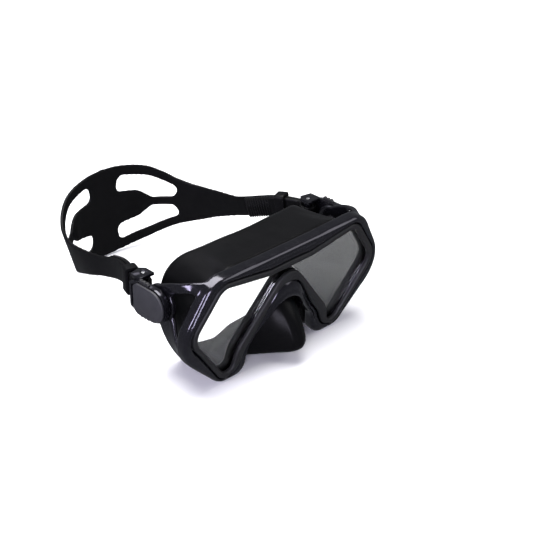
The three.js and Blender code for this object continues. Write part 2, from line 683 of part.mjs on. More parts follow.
function buckleSide(name, keeperDepth) {
  const side = new THREE.Group();
  side.add(
    named(`${name}_pivot_pin`, pivotPin(), STEEL),
    named(`${name}_pivot_washer`, pivotWasher(), SATIN_BLACK),
    named(`${name}_buckle_base`, buckleBase(), GLOSS_BLACK),
    named(`${name}_buckle_cover`, buckleCover(), COVER_GREY),
    named(`${name}_strap_roller`, roller(), GLOSS_BLACK),
    named(`${name}_roller_axle`, rollerAxle(), STEEL),
    named(`${name}_release_button_upper`, releaseButton(1), SATIN_BLACK),
    named(`${name}_release_button_lower`, releaseButton(-1), SATIN_BLACK),
    named(`${name}_button_spring`, buttonSpring(), STEEL),
    named(`${name}_strap_keeper`, keeper(keeperDepth), SILICONE),
  );
  return side;
}

// ---------------------------------------------------------------- assembly
const mask = new THREE.Group();
mask.add(
  named("lens", lens(), GLASS),
  named("lens_bezel", lensBezel(), SATIN_BLACK),
  named("frame", frame(), GLOSS_BLACK),
  named("skirt", skirt(), SILICONE),
  named("strap", strap(), SILICONE),
);
const left = buckleSide("left", KEEPER.leftDepth);
const right = buckleSide("right", KEEPER.rightDepth);
right.scale.x = -1;
mask.add(left, right);

// The box's middle goes over the origin and its underside onto the table.
const box = new THREE.Box3().setFromObject(mask);
const middle = box.getCenter(v3(0, 0, 0));
mask.position.set(-middle.x, -middle.y, -FLOOR_Z);

export default mask;
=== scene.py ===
"""Snorkel mask: one tempered glass lens in a gloss frame, a silicone skirt with a nose pocket,
and a split-pad silicone strap on two swivelling buckles. Metres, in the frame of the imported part."""

import math

import bmesh
import bpy
import numpy as np
from mathutils import Matrix, Vector
from mathutils.geometry import tessellate_polygon


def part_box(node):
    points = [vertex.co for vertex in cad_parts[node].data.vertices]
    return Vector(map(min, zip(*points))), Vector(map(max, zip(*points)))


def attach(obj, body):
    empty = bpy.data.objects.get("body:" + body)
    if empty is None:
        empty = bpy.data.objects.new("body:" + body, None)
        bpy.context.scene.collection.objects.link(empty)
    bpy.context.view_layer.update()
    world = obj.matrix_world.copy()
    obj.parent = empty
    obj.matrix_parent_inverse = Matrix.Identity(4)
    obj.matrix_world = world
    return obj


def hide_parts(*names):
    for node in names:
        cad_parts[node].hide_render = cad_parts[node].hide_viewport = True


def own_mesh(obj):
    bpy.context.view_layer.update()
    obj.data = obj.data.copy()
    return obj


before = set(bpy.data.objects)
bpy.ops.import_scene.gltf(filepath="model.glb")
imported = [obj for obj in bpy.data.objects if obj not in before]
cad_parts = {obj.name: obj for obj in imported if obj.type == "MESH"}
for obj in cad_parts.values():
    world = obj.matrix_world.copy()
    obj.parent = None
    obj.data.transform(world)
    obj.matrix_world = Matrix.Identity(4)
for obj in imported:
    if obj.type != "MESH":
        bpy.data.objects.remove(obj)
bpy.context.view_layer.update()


# ---------------------------------------------------------------- lens
# One pane of 3 mm tempered soda-lime glass, cut to the two eyes and the notch over the nose.
# Its ground edge is hidden in the frame's seat, so only the clear, polished faces are seen.
MM = 0.001
TILT = math.radians(8)
PIVOT_Y, PIVOT_Z = 33.5, 10.5
pin_low, pin_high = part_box("left_pivot_pin")
pin_centre = (pin_low + pin_high) / 2
SHIFT = Vector((0, pin_centre.y / MM - PIVOT_Y, pin_centre.z / MM - PIVOT_Z))
LENS_BORDER = 3
LENS_FRONT = -2.4
LENS_THICK = 3
ARC_STEPS = 10
EDGE_STEPS = 5
LENS_CHAMFER = 0.4
NOTCH_TOP = 8, 26
NOTCH_WALL = 24, 29
BAR_END = 1.05, 2.05
# Each half outline runs from the brow down the wearer's left side to the notch: x, y, radius.
OPENING = [
    (20, 21.6, 60), (58.5, 28.2, 8), (79.5, -3, 12), (51.5, -41, 7), (44, -42.5, 4.5), (41, -28, 26),
    (0, 26, 14),
]
FRAME_OUTER = [
    (22, 34.8, 90), (67.5, 36, 18), (93.5, -10, 28), (53.5, -49.6, 12), (32, -49.2, 8), (29, -31, 16),
    (0, 7.4, 15.5),
]
SEAL = [
    (20, 33, 90), (58.5, 29, 21), (70, -6, 34), (51, -47, 12), (33, -49.3, 9), (20, -44, 12),
    (0, -43.5, 10),
]


def linear(hex_colour):
    """An sRGB hex colour as linear RGBA."""
    channels = [int(hex_colour[i : i + 2], 16) / 255 for i in (1, 3, 5)]
    return tuple(c / 12.92 if c <= 0.04045 else ((c + 0.055) / 1.055) ** 2.4 for c in channels) + (1,)


def add(tree, kind, links=None, **settings):
    """Adds a node with its settings; links gives its inputs values or other nodes' sockets."""
    node = tree.nodes.new(kind)
    for name, value in settings.items():
        setattr(node, name, value)
    for name, value in (links or {}).items():
        if isinstance(value, bpy.types.NodeSocket):
            tree.links.new(value, node.inputs[name])
        else:
            node.inputs[name].default_value = value
    return node


def material(name):
    """An empty node material and its tree."""
    made = bpy.data.materials.new(name)
    made.use_nodes = True
    made.node_tree.nodes.clear()
    return made, made.node_tree


def noise(tree, coordinates, scale, detail, **more):
    """The shade of a noise over the piece's own space; more names further inputs."""
    named = {name.title(): value for name, value in more.items()}
    links = {"Vector": coordinates.outputs["Object"], "Scale": scale, "Detail": detail, **named}
    return add(tree, "ShaderNodeTexNoise", links).outputs["Fac"]


def spread(tree, value, source, target):
    """The value carried from its source range to the target range, and held there."""
    links = {"Value": value, "From Min": source[0], "From Max": source[1],
             "To Min": target[0], "To Max": target[1]}
    return add(tree, "ShaderNodeMapRange", links).outputs["Result"]


def surface(tree, inputs):
    """Ends a material in one principled shader with these inputs."""
    shader = add(tree, "ShaderNodeBsdfPrincipled", inputs)
    add(tree, "ShaderNodeOutputMaterial", {"Surface": shader.outputs["BSDF"]})


def smoothstep(x, low, high):
    t = np.clip((x - low) / (high - low), 0, 1)
    return t * t * (3 - 2 * t)


def lens_point(x, up, front):
    """A point so far up the lens plane and so far in front of it."""
    y = -up * math.sin(TILT) - front * math.cos(TILT)
    return Vector((x, y, up * math.cos(TILT) - front * math.sin(TILT)))


def rounded(corners, arc_steps=ARC_STEPS, edge_steps=EDGE_STEPS):
    """A closed outline whose corners (x, y, radius) are arcs."""
    arcs = []
    for i, (x, y, radius) in enumerate(corners):
        here = Vector((x, y))
        back = (Vector(corners[i - 1][:2]) - here).normalized()
        on = (Vector(corners[(i + 1) % len(corners)][:2]) - here).normalized()
        half = math.acos(max(-1, min(1, back.dot(on)))) / 2
        centre = here + (back + on).normalized() * (radius / math.sin(half))
        start = here + back * (radius / math.tan(half)) - centre
        end = here + on * (radius / math.tan(half)) - centre
        turn = math.atan2(start.x * end.y - start.y * end.x, start.dot(end))
        turns = [turn * k / arc_steps for k in range(arc_steps + 1)]
        arcs.append([centre + Matrix.Rotation(part, 2) @ start for part in turns])
    outline = []
    for i, arc in enumerate(arcs):
        following = arcs[(i + 1) % len(arcs)][0]
        outline += arc
        outline += [arc[-1].lerp(following, (k + 1) / (edge_steps + 1)) for k in range(edge_steps)]
    return outline


def mirrored(half):
    """The closed, rounded outline of a half outline and its mirror image."""
    return rounded([*half, *[(-x, y, r) for x, y, r in reversed(half[:-1])]])


class Station:
    """One place round the lens: the opening's edge, the way out across the frame, and the seal.

    Three shares say how near it is: nearness to the top of the notch, noseward to the notch's
    walls, and barward to the bars of the bezel beside the nose. from_nose counts corners.
    """

    def __init__(self, inner, outer, seal, in_notch, from_nose):
        self.inner = inner
        self.across = (outer - inner).normalized()
        self.width = (outer - inner).length
        self.seal = seal
        self.side = abs(outer.x)
        self.x = outer.x
        self.nearness = float(1 - smoothstep(self.side, *NOTCH_TOP)) if in_notch else 0.0
        self.noseward = float(1 - smoothstep(self.side, *NOTCH_WALL)) if in_notch else 0.0
        self.barward = float(1 - smoothstep(from_nose, *BAR_END))

    def at(self, w, n):
        """The point w out from the opening's edge and n in front of the lens plane."""
        edge = self.inner + self.across * w
        return lens_point(edge.x, edge.y, n)


outlines = [mirrored(o) for o in (OPENING, FRAME_OUTER, SEAL)]
per_corner = ARC_STEPS + 1 + EDGE_STEPS
notch = range((len(OPENING) - 2) * per_corner, (len(OPENING) + 1) * per_corner - EDGE_STEPS)
nose_top = (len(OPENING) - 1) * per_corner + ARC_STEPS / 2
stations = [
    Station(*points, i in notch, abs(i - nose_top) / per_corner)
    for i, points in enumerate(zip(*outlines))
]


def build(name, points, faces):
    """A mesh object from millimetre points of the mask's own axes, facing outwards."""
    mesh = bpy.data.meshes.new(name)
    mesh.from_pydata([(Vector(p) + SHIFT) * MM for p in points], [], faces)
    shell = bmesh.new()
    shell.from_mesh(mesh)
    bmesh.ops.recalc_face_normals(shell, faces=shell.faces)
    shell.to_mesh(mesh)
    shell.free()
    mesh.shade_smooth()
    made = bpy.data.objects.new(name, mesh)
    bpy.context.scene.collection.objects.link(made)
    return made


def loft(rings, closed):
    """Points and faces that join rings of points, closed on itself or capped at both ends."""
    size = len(rings[0])
    spans = len(rings) if closed else len(rings) - 1
    faces = []
    for i in range(spans):
        a, b = i * size, (i + 1) % len(rings) * size
        faces += [(a + j, b + j, b + (j + 1) % size, a + (j + 1) % size) for j in range(size)]
    if not closed:
        faces += [tuple(range(size)), tuple(range((len(rings) - 1) * size, len(rings) * size))]
    return [p for ring in rings for p in ring], faces


def settle(made, **modifiers):
    """Adds each modifier (type: settings) and turns the piece into the plain mesh they make."""
    for kind, settings in modifiers.items():
        modifier = made.modifiers.new(kind, kind)
        for name, value in settings.items():
            setattr(modifier, name, value)
    graph = bpy.context.evaluated_depsgraph_get()
    mesh = bpy.data.meshes.new_from_object(made.evaluated_get(graph))
    made.modifiers.clear()
    made.data = mesh


def finish(made, look, slot, body, *nodes):
    """Gives a piece its material, and puts it on its body in place of CAD nodes; its slot is not used."""
    made.data.materials.clear()
    made.data.materials.append(look)
    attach(made, body)
    if nodes:
        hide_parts(*nodes)
    return made


glass, nodes = material("tempered_soda_lime_glass")
# Soda-lime float glass: nearly colourless, with the faint green of its iron in the thickness, and
# a polished face on which a thin film of dust and handling scatters a little light.
coordinates = add(nodes, "ShaderNodeTexCoord")
haze = noise(nodes, coordinates, 60.0, 3.0)
film = spread(nodes, haze, (0.45, 0.75), (0.0, 0.006))
surface(nodes, {
    "Base Color": linear("#f8faf9"),
    "Roughness": film,
    "IOR": 1.5,
    "Transmission Weight": 1.0,
})

pane = [s.inner + s.across * LENS_BORDER for s in stations]
faces_of_pane = [[lens_point(p.x, p.y, n) for p in pane] for n in (LENS_FRONT, LENS_FRONT - LENS_THICK)]
lens = build("lens_pane", *loft(faces_of_pane, False))
settle(lens, BEVEL={"width": LENS_CHAMFER * MM, "segments": 2, "limit_method": "ANGLE"})
finish(lens, glass, "lens_glass", "frame_body", "lens")
for polygon in lens.data.polygons:
    polygon.use_smooth = False


# ---------------------------------------------------------------- bezel
# A satin ABS trim ring that snaps into the frame over the edge of the glass. It is a narrow step
# at the brow and sides and a wide rounded bar along both sides of the nose notch.
BEZEL_GAP = 0.51
BEZEL_WIDTH = 5
BEZEL_NOSE_EXTRA = 2.4
BEZEL_NOSE_LIFT = 0.5


def bezel_width(s):
    return BEZEL_WIDTH + BEZEL_NOSE_EXTRA * s.barward


def bezel_ring(s):
    """The bezel's section at a station, as (out from the opening, in front of the lens plane)."""
    w = bezel_width(s) - BEZEL_GAP
    front = BEZEL_NOSE_LIFT * s.nearness
    foot = LENS_FRONT + 0.3
    profile = [
        (0, foot), (0, -0.8), (0, 0.4), (0.35, 1.0), (1.0, 1.35), (w / 2, 1.6 + front),
        (w - 1.2, 1.5 + front), (w - 0.3, 1.1 + front), (w, 0.5 + front), (w, foot),
    ]
    return [s.at(*p) for p in profile]


def blended(tree, share, colour_a, colour_b):
    """A colour between two."""
    links = {"Factor": share, "A": linear(colour_a), "B": linear(colour_b)}
    return add(tree, "ShaderNodeMix", links, data_type="RGBA").outputs["Result"]


def raised(tree, height, strength, depth):
    """The normal of a relief, whose depth is in metres."""
    links = {"Height": height, "Strength": strength, "Distance": depth}
    return add(tree, "ShaderNodeBump", links).outputs["Normal"]


satin, nodes = material("satin_moulded_abs")
# Black ABS from a spark-eroded mould: an even satin grain of about 0.2 mm, drawn at 0.45 mm so
# that it shows, which greys the highlights and hides small marks.
coordinates = add(nodes, "ShaderNodeTexCoord")
grain = noise(nodes, coordinates, 2200.0, 2.0)
cloud = noise(nodes, coordinates, 90.0, 4.0)
surface(nodes, {
    "Base Color": blended(nodes, cloud, "#0f0f11", "#171719"),
    "Roughness": spread(nodes, cloud, (0.3, 0.7), (0.5, 0.6)),
    "IOR": 1.53,
    "Normal": raised(nodes, grain, 0.25, 0.00006),
})

bezel = build("bezel_ring", *loft([bezel_ring(s) for s in stations], True))
settle(bezel, SUBSURF={"levels": 1, "render_levels": 1})
finish(bezel, satin, "bezel_plastic", "frame_body", "lens_bezel")


# ---------------------------------------------------------------- frame
# One polycarbonate moulding from a polished tool: a ring with two lengthwise ridges and a bridge
# over the nose, and at each side two limbs that meet at the round lug that carries the buckle.
FRAME_DEPTH = 9.2
FLANGE = 1.6
BRIDGE_LIFT = 3
RING_INSIDE = 0.9
SEAT_GAP = 0.9
LIMB_THICK = 3.8
LIMB_STATIONS = 36
LIMB_SIDES = 20
LIMB_EDGE_POWERS = 0.45, 0.6
SPAN_STEPS = 40
LUG_X0, LUG_X1, LUG_RADIUS = 74.5, 78.5, 12.6
FRAME_VOXEL = 0.75


def frame_ring(s):
    """The ring's section at a station, as (out from the opening, in front of the lens plane)."""
    seat = LENS_BORDER + SEAT_GAP
    flange = FRAME_DEPTH - FLANGE
    w0, w1 = bezel_width(s), s.width
    lift = BRIDGE_LIFT * s.nearness
    span = w1 - w0
    dip = s.barward * (1 - s.nearness)
    profile = [
        (w0, LENS_FRONT - 0.1), (w0, -0.4 + 0.5 * s.nearness - 0.6 * dip),
        (w0 + 0.18 * span, 1 - 2.2 * dip + lift * 0.4), (w0 + 0.4 * span, 0.9 - 2.6 * dip + lift * 0.6),
        (w0 + 0.52 * span, 0.2 - 1.8 * dip + lift * 0.7), (w0 + 0.66 * span, 0.8 - 1.6 * dip + lift * 0.85),
        (w1 - 1.1, lift), (w1, -1.6 + lift), (w1, -FRAME_DEPTH + 1.6),
        (w1 - 1.5, -FRAME_DEPTH), (RING_INSIDE, -FRAME_DEPTH), (RING_INSIDE, -flange),
        (seat, -flange), (seat, LENS_FRONT - 0.1),
    ]
    return [s.at(*p) for p in profile]


def spline(points, count, before=None):
    """Evenly spaced points of a centripetal Catmull-Rom curve, and its length."""
    knots = [Vector(p) for p in points]
    knots = [Vector(before) if before else knots[0] * 2 - knots[1], *knots, knots[-1] * 2 - knots[-2]]
    line = []
    for p0, p1, p2, p3 in zip(knots, knots[1:], knots[2:], knots[3:]):
        d0, d1, d2 = ((b - a).length ** 0.5 for a, b in ((p0, p1), (p1, p2), (p2, p3)))
        m1 = ((p1 - p0) / d0 - (p2 - p0) / (d0 + d1) + (p2 - p1) / d1) * d1
        m2 = ((p2 - p1) / d1 - (p3 - p1) / (d1 + d2) + (p3 - p2) / d2) * d1
        for k in range(SPAN_STEPS):
            t = k / SPAN_STEPS
            line.append(p1 * (2 * t**3 - 3 * t**2 + 1) + m1 * (t**3 - 2 * t**2 + t)
                        + p2 * (3 * t**2 - 2 * t**3) + m2 * (t**3 - t**2))
    line = np.array([*line, knots[-2]])
    along = np.concatenate([[0], np.cumsum(np.linalg.norm(np.diff(line, axis=0), axis=1))])
    wanted = np.linspace(0, along[-1], count)
    spaced = np.column_stack([np.interp(wanted, along, line[:, k]) for k in range(3)])
    return [Vector(p) for p in spaced], along[-1]


def limb(edge_a, edge_b):
    """A limb between two edges, with rounded edges all round."""
    a_line, b_line = (spline(edge, LIMB_STATIONS)[0] for edge in (edge_a, edge_b))
    side_power, face_power = LIMB_EDGE_POWERS
    rings = []
    for i, (a, b) in enumerate(zip(a_line, b_line)):
        before, after = max(i - 1, 0), min(i + 1, len(a_line) - 1)
        side = (b - a).normalized()
        onward = a_line[after] + b_line[after] - a_line[before] - b_line[before]
        normal = onward.cross(side).normalized()
        middle, half = (a + b) / 2, (b - a).length / 2
        ring = []
        for k in range(LIMB_SIDES):
            turn = 2 * math.pi * k / LIMB_SIDES
            c, e = math.cos(turn), math.sin(turn)
            ring.append(middle + side * half * math.copysign(abs(c) ** side_power, c)
                        + normal * LIMB_THICK / 2 * math.copysign(abs(e) ** face_power, e))
        rings.append(ring)
    return loft(rings, False)


def disc(radius, x0, x1, rim=0.8, sides=72):
    """A round plate across X about the pivot, with rounded rims."""
    profile = [(radius - rim, x0), (radius, x0 + rim), (radius, x1 - rim), (radius - rim, x1)]
    turns = [2 * math.pi * k / sides for k in range(sides)]
    rings = [
        [Vector((x, PIVOT_Y + r * math.cos(t), PIVOT_Z + r * math.sin(t))) for t in turns]
        for r, x in profile
    ]
    return loft(rings, False)


def joined(parts):
    """Several (points, faces) as one."""
    points, faces = [], []
    for part_points, part_faces in parts:
        faces += [tuple(len(points) + i for i in face) for face in part_faces]
        points += part_points
    return points, faces


def flipped(part):
    """The mirror image of a part, for the other side."""
    return [Vector((-p[0], p[1], p[2])) for p in part[0]], part[1]


upper_limb = limb(
    [(66, 3, 33.4), (71, 9, 32.4), (75, 17, 30.2), (76.4, 25, 27.6), (76.6, 33, 24)],
    [(72, 3, 25.5), (74.5, 9, 25.8), (76, 16, 23.6), (76.4, 23, 19.5), (76.6, 31, 15)],
)
lower_limb = limb(
    [(76.5, 27, 8), (77, 21, 3), (80.4, 16, -3.5), (83.4, 10, -9.5), (84, 6.5, -14), (82, 6, -18)],
    [(76.5, 41, 5), (76.5, 35.5, -6), (77, 29, -14), (76.6, 21, -20.5), (73.5, 12.5, -26.5),
     (66, 8.5, -33)],
)
side_arm = joined([upper_limb, lower_limb, disc(LUG_RADIUS, LUG_X0, LUG_X1)])

gloss, nodes = material("polished_polycarbonate")
# Black polycarbonate from a polished mould: a deep clean gloss. The skin keeps a slow waviness of
# about 12 mm from shrinkage, and smears of handling that soften the mirror in patches.
coordinates = add(nodes, "ShaderNodeTexCoord")
waves = noise(nodes, coordinates, 85.0, 1.0)
smears = noise(nodes, coordinates, 160.0, 5.0, distortion=1.2)
surface(nodes, {
    "Base Color": linear("#0b0b0e"),
    "Roughness": spread(nodes, smears, (0.4, 0.75), (0.1, 0.22)),
    "IOR": 1.58,
    "Specular Tint": linear("#f1eefc"),
    "Normal": raised(nodes, waves, 0.3, 0.0004),
})

ring = loft([frame_ring(s) for s in stations], True)
moulding = build("frame_moulding", *joined([ring, side_arm, flipped(side_arm)]))
settle(moulding, REMESH={"mode": "VOXEL", "voxel_size": FRAME_VOXEL * MM},
       SMOOTH={"factor": 0.5, "iterations": 4})
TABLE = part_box("frame")[0].z


def flatten(made, level):
    """Presses what lies below a level flat, where the piece rests on the table."""
    count = len(made.data.vertices)
    places = np.empty(count * 3)
    made.data.vertices.foreach_get("co", places)
    places = places.reshape(-1, 3)
    places[:, 2] = np.maximum(places[:, 2], level)
    made.data.vertices.foreach_set("co", places.ravel())
    made.data.update()


flatten(moulding, TABLE)
moulding.data.shade_smooth()
finish(moulding, gloss, "frame_plastic", "frame_body", "frame")


# ---------------------------------------------------------------- skirt
# One moulding of black liquid silicone rubber: a lip that wraps the edge of the glass, soft walls
# to the face, a feathered sealing edge turned inwards, and a wedge-shaped pocket for the nose.
SEAL_Y = 39
SEAL_SWEEP = 12
SEAL_HALF_WIDTH = 68
SEAL_LIP = 11
SKIRT_WALL = 2
GAP = 0.3
SEAL_LIP_WALL = 0.9
SEAL_LIP_LIFT = 1.5
SEAL_CENTRE = 0, -6
TEMPLE = 46, 62
SKIRT_INSETS = 1.5, 8
UNDER_RIM = 0.7
SEAT_OUT = LENS_BORDER + 0.75
SEAT_IN = 0.2
GLASS_LIP_OUT = LENS_BORDER + 0.15
GLASS_LIP_FRONT = LENS_FRONT - 0.2
INNER_EDGE = -1.5
# The wall and rear rows of the outside: their share of the way back, and of the way across.
WALL_SHARES = 0.36, 0.62
REAR_SHARES = 0.76, 0.93
# The nose pocket's ridge is 10 mm wide. Its rows: y, z, and how far y and z move each mm beside it.
RIDGE_HALF = 5
RIDGE_SLOPE = 0.35
POCKET_TOP = -17.5, -30, 1.6, 0.55
POCKET_BASE = -13.5, -43, 1.45, 0.25


def mix(a, b, share):
    """The value that share of the way from a to b."""
    return a + (b - a) * share


def seal_point(p, inset):
    """A point of the sealing edge, which sweeps back with the face, moved inwards by inset."""
    q = p + (Vector(SEAL_CENTRE) - p).normalized() * inset
    return Vector((q.x, SEAL_Y + SEAL_SWEEP * (p.x / SEAL_HALF_WIDTH) ** 2, q.y))


def pocket_point(level, x):
    """A point of the nose pocket on one of its rows."""
    y, z, slope, fall = level
    beside = max(abs(x) - RIDGE_HALF, 0)
    on_ridge = RIDGE_SLOPE * min(abs(x), RIDGE_HALF)
    return Vector((x, y + slope * beside + on_ridge, z - fall * beside))


def skirt_reach(s):
    """How far out the skirt leaves the frame's back, and how much the place is at the temple."""
    beside = float(smoothstep(s.side, *TEMPLE))
    return mix(s.width - mix(*SKIRT_INSETS, beside), s.width + UNDER_RIM, s.noseward), beside


def skirt_outside(s):
    """The outer row of the skirt's section at a station, from the glass to the sealing edge."""
    reach, beside = skirt_reach(s)
    rim, edge = seal_point(s.seal, 0), seal_point(s.seal, SEAL_LIP)
    edge.y += SEAL_LIP_LIFT
    behind = s.at(reach, -FRAME_DEPTH - GAP)
    under_rim = s.at(s.width + UNDER_RIM, mix(-FRAME_DEPTH + 1, 0.6, s.nearness))
    turn = behind.lerp(under_rim, s.noseward)
    wall, rear = behind.lerp(rim, WALL_SHARES[0]), behind.lerp(rim, REAR_SHARES[0])
    for p, across in ((wall, WALL_SHARES[1]), (rear, REAR_SHARES[1])):
        p.x = mix(behind.x, rim.x, across)
        p.z = mix(behind.z, rim.z, across)
    wall = wall.lerp(pocket_point(POCKET_TOP, s.x), s.noseward)
    rear = rear.lerp(pocket_point(POCKET_BASE, s.x), s.noseward)
    shoulder = turn.lerp(wall, mix(0.16, 0.35, beside))
    shoulder.x = mix(turn.x, wall.x, mix(0.16, 0.55, beside))
    lip = -FRAME_DEPTH + FLANGE + GAP
    seat = [s.at(SEAT_OUT, lip), s.at(SEAT_IN, lip), s.at(SEAT_IN, -FRAME_DEPTH - GAP)]
    return [*seat, behind, shoulder, wall, rear, rim, edge]


outside = [skirt_outside(s) for s in stations]
rings = []
for i, (s, row) in enumerate(zip(stations, outside)):
    before, after = outside[i - 1], outside[(i + 1) % len(outside)]
    inside = []
    for k in range(len(row) - 1, 3, -1):
        outward = row[min(k + 1, len(row) - 1)] - row[k - 1]
        normal = outward.cross(after[k] - before[k]).normalized()
        inside.append(row[k] + normal * (SEAL_LIP_WALL if k == len(row) - 1 else SKIRT_WALL))
    bend = skirt_reach(s)[0] + mix(-SKIRT_WALL, SKIRT_WALL, s.noseward)
    back = -FRAME_DEPTH - GAP - SKIRT_WALL
    behind_glass = LENS_FRONT - LENS_THICK - GAP
    inner = [s.at(bend, back), s.at(INNER_EDGE, back), s.at(INNER_EDGE, behind_glass)]
    wrap = [s.at(GLASS_LIP_OUT, behind_glass), s.at(GLASS_LIP_OUT, GLASS_LIP_FRONT),
            s.at(SEAT_OUT, GLASS_LIP_FRONT)]
    rings.append([*row, *inside, *inner, *wrap])

silicone, nodes = material("moulded_liquid_silicone")
# Black liquid silicone rubber from a lightly blasted mould: a soft satin that shows cloudy
# handling marks tens of millimetres across, and holds specks of dust by static.
coordinates = add(nodes, "ShaderNodeTexCoord")
cloud = noise(nodes, coordinates, 45.0, 5.0, roughness=0.6, distortion=0.6)
specks = add(nodes, "ShaderNodeTexVoronoi", {"Vector": coordinates.outputs["Object"], "Scale": 420.0})
dust = spread(nodes, specks.outputs["Distance"], (0.02, 0.06), (0.3, 0.0))
grain = noise(nodes, coordinates, 1500.0, 2.0)
surface(nodes, {
    "Base Color": blended(nodes, dust, "#09090a", "#242424"),
    "Roughness": spread(nodes, cloud, (0.35, 0.65), (0.28, 0.4)),
    "IOR": 1.41,
    "Specular IOR Level": 0.1,
    "Normal": raised(nodes, grain, 0.15, 0.00005),
})

skirt = build("skirt_moulding", *loft(rings, True))
# Rows of the section from shoulder to rim: the rim keeps a firm edge, and so does the pocket's ridge.
RIM_ROW = 7
POCKET_ROWS = {4, 5, 6, 7}
RIM_CREASE = 0.85
RIDGE_CREASE = 0.7
crease = skirt.data.attributes.new("crease_edge", "FLOAT", "EDGE")
row_length = len(rings[0])
ridges = {min(notch, key=lambda i: abs(stations[i].x - x)) for x in (-RIDGE_HALF, RIDGE_HALF)}
for edge_of_skirt in skirt.data.edges:
    columns, rows = zip(*(divmod(v, row_length) for v in edge_of_skirt.vertices))
    if rows == (RIM_ROW, RIM_ROW):
        crease.data[edge_of_skirt.index].value = RIM_CREASE
    elif columns[0] == columns[1] and columns[0] in ridges and set(rows) <= POCKET_ROWS:
        crease.data[edge_of_skirt.index].value = RIDGE_CREASE
settle(skirt, SUBSURF={"levels": 2, "render_levels": 2})
flatten(skirt, TABLE + 0.05 * MM)
finish(skirt, silicone, "skirt_silicone", "frame_body", "skirt")


# ---------------------------------------------------------------- strap
# One flat silicone moulding, 2.4 mm thick: a pad with four openings behind the head and two arms,
# each passed round its buckle's roller and folded back inside itself as a ribbed tail.
STRAP_THICK = 2.4
BAND_HALF = 7.2
TAIL_GAP = 0.5
TAIL_LENGTH = 52
STRAP_VOXEL = 0.8
LEAN = math.radians(14)
LEAN_STARTS, LEAN_ENDS = (22, 60), (78, 118)
TAIL_CLOSES = 3.8, 11
ROLLER_X, ROLLER_Y, ROLLER_RADIUS = 74, 54, 2.8
ROUTE_POINTS = 800
BEFORE_ROUTE = -16, 188.6, -12.9
# The right arm's centre line from the back of the head to the roller, in millimetres.
ROUTE = [
    (0, 189.6, -12.8), (16, 188.6, -12.9), (32, 184.8, -13.2), (45, 177.5, -13.6), (53.5, 167.5, -13.4),
    (58.6, 156, -12), (61.2, 146, -9.8), (62.4, 136, -7.2), (62.8, 124, -4), (63, 112, -0.6),
    (64.2, 101, 3.2), (66.3, 91, 6.8), (69.2, 81.5, 9.6), (72.2, 73.5, 10.8), (75, 66, 11.2),
    (77.4, 60, 10.9), (78.3, 54, 10.5),
]
# Half the strap's height at each distance from its middle.
PAD = [
    (0, 34.8), (14, 33.8), (27, 31.6), (38, 28.8), (50, 23.4), (60, 18.6), (72, 15), (90, 11),
    (108, 8.4), (118, BAND_HALF), (400, BAND_HALF),
]
PAD_SAMPLES = 400
PAD_WINDOW = 25
PAD_OPENING = [
    (11.5, 13.4, 4.5), (12.5, 26.6, 5), (38, 21.4, 50), (61.5, 11, 4), (57, 3.4, 3.6), (40.5, 3, 6),
    (30, 10.5, 16),
]
OPENING_ARC_STEPS = 8
OPENING_EDGE_STEPS = 4
OUTLINE_STEP = 1.5
STEP = 0.5

route, arm_length = spline(ROUTE, ROUTE_POINTS, BEFORE_ROUTE)
route = np.array(route)
turn_radius = ROLLER_RADIUS + GAP + STRAP_THICK / 2
turn_length = math.pi * turn_radius
strap_end = arm_length + turn_length + TAIL_LENGTH


def arm_frame(s):
    """Centre, outward and upward directions of the strap's right arm at each distance s."""
    grid = np.linspace(0, arm_length, len(route))
    point = np.column_stack([np.interp(s, grid, route[:, k]) for k in range(3)])
    slopes = np.gradient(route, grid, axis=0)
    slopes[0, 2] = 0
    tangent = np.column_stack([np.interp(s, grid, slopes[:, k]) for k in range(3)])
    out = np.column_stack([tangent[:, 1], -tangent[:, 0], np.zeros(len(s))])
    out *= np.where(out[:, :1] + out[:, 1:2] < 0, -1, 1) / np.linalg.norm(out, axis=1, keepdims=True)
    up = np.cross(out, tangent)
    up *= np.where(up[:, 2:] < 0, -1, 1) / np.linalg.norm(up, axis=1, keepdims=True)
    return point, out, up


distances = np.arange(0, strap_end + STEP, STEP)
past = distances - arm_length
folded = past > turn_length
centre, outward, upward = arm_frame(np.where(folded, arm_length - (past - turn_length), distances))
# The tail comes off the roller a full turn apart and closes up against the arm.
apart = mix(2 * turn_radius, STRAP_THICK + TAIL_GAP, smoothstep(past - turn_length, *TAIL_CLOSES))
centre[folded] -= outward[folded] * apart[folded, None]
outward[folded] *= -1
on_roller = (past > 0) & ~folded
angle = past[on_roller] / turn_radius
outward[on_roller] = np.column_stack([np.cos(angle), -np.sin(angle), np.zeros(len(angle))])
upward[on_roller] = (0, 0, 1)
centre[on_roller] = np.array([ROLLER_X, ROLLER_Y, PIVOT_Z]) + outward[on_roller] * turn_radius


def along_strap(table, s):
    """The rows of a table over the distances, at the distances s."""
    return np.column_stack([np.interp(s, distances, table[:, k]) for k in range(3)])


def half_height(s):
    """Half the strap's height, on a smooth curve through the pad's widths."""
    places, heights = np.array(PAD).T
    fine = np.linspace(0, places[-2], PAD_SAMPLES)
    rough = np.interp(fine, places, heights)
    window = np.hanning(PAD_WINDOW) / np.hanning(PAD_WINDOW).sum()
    soft = np.convolve(np.pad(rough, PAD_WINDOW // 2, mode="edge"), window, "valid")
    return np.interp(s, fine, soft)


